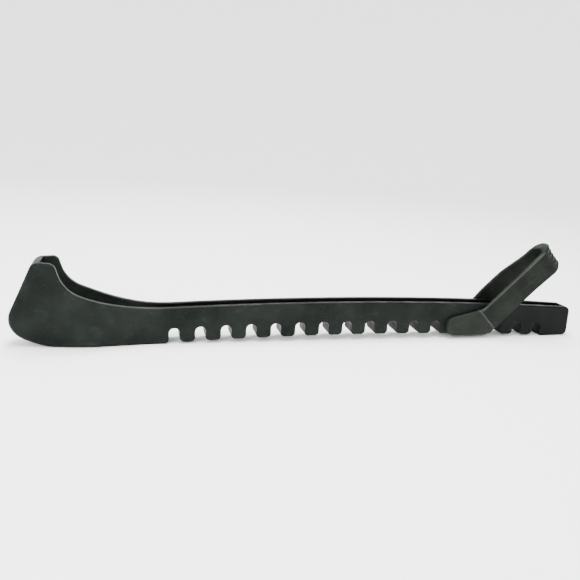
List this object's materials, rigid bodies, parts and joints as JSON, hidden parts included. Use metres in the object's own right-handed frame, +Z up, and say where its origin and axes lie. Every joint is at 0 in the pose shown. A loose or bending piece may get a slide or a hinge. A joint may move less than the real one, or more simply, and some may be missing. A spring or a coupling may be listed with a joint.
{
  "type": "ice skate blade guard",
  "caption": "Walking guard for an ice skate blade: slotted, notched channel with a raised toe cup, and a rubber heel strap pegged through the sole notches.",
  "frame": {"origin": "midway along the assembly, on its plane of symmetry, at the level the guard stands on", "axes": "+X from the toe to the heel, +Y to the wearer's left, +Z up"},
  "size_m": [0.3251, 0.025, 0.0579],
  "materials": {
    "guard_plastic": "satin moulded black, slightly green-grey, scuffed",
    "strap_rubber": "soft satin black rubber, slightly bloomed"
  },
  "bodies": {
    "guard": {"guard_body": "guard_plastic"},
    "foot": {"strap_foot": "strap_rubber"},
    "loop": {"strap_loop": "strap_rubber"}
  },
  "joints": [
    {"name": "strap_unhook", "type": "slide", "parent": "guard", "child": "foot", "axis": [0, 0, -1], "range_m": [0, 0.009]},
    {"name": "loop_flex", "type": "hinge", "parent": "foot", "child": "loop", "pos_m": [0.1072, 0, 0.0156], "axis": [0, 1, 0], "range_deg": [-45, 18], "stiffness_Nm_per_rad": 0.2}
  ]
}
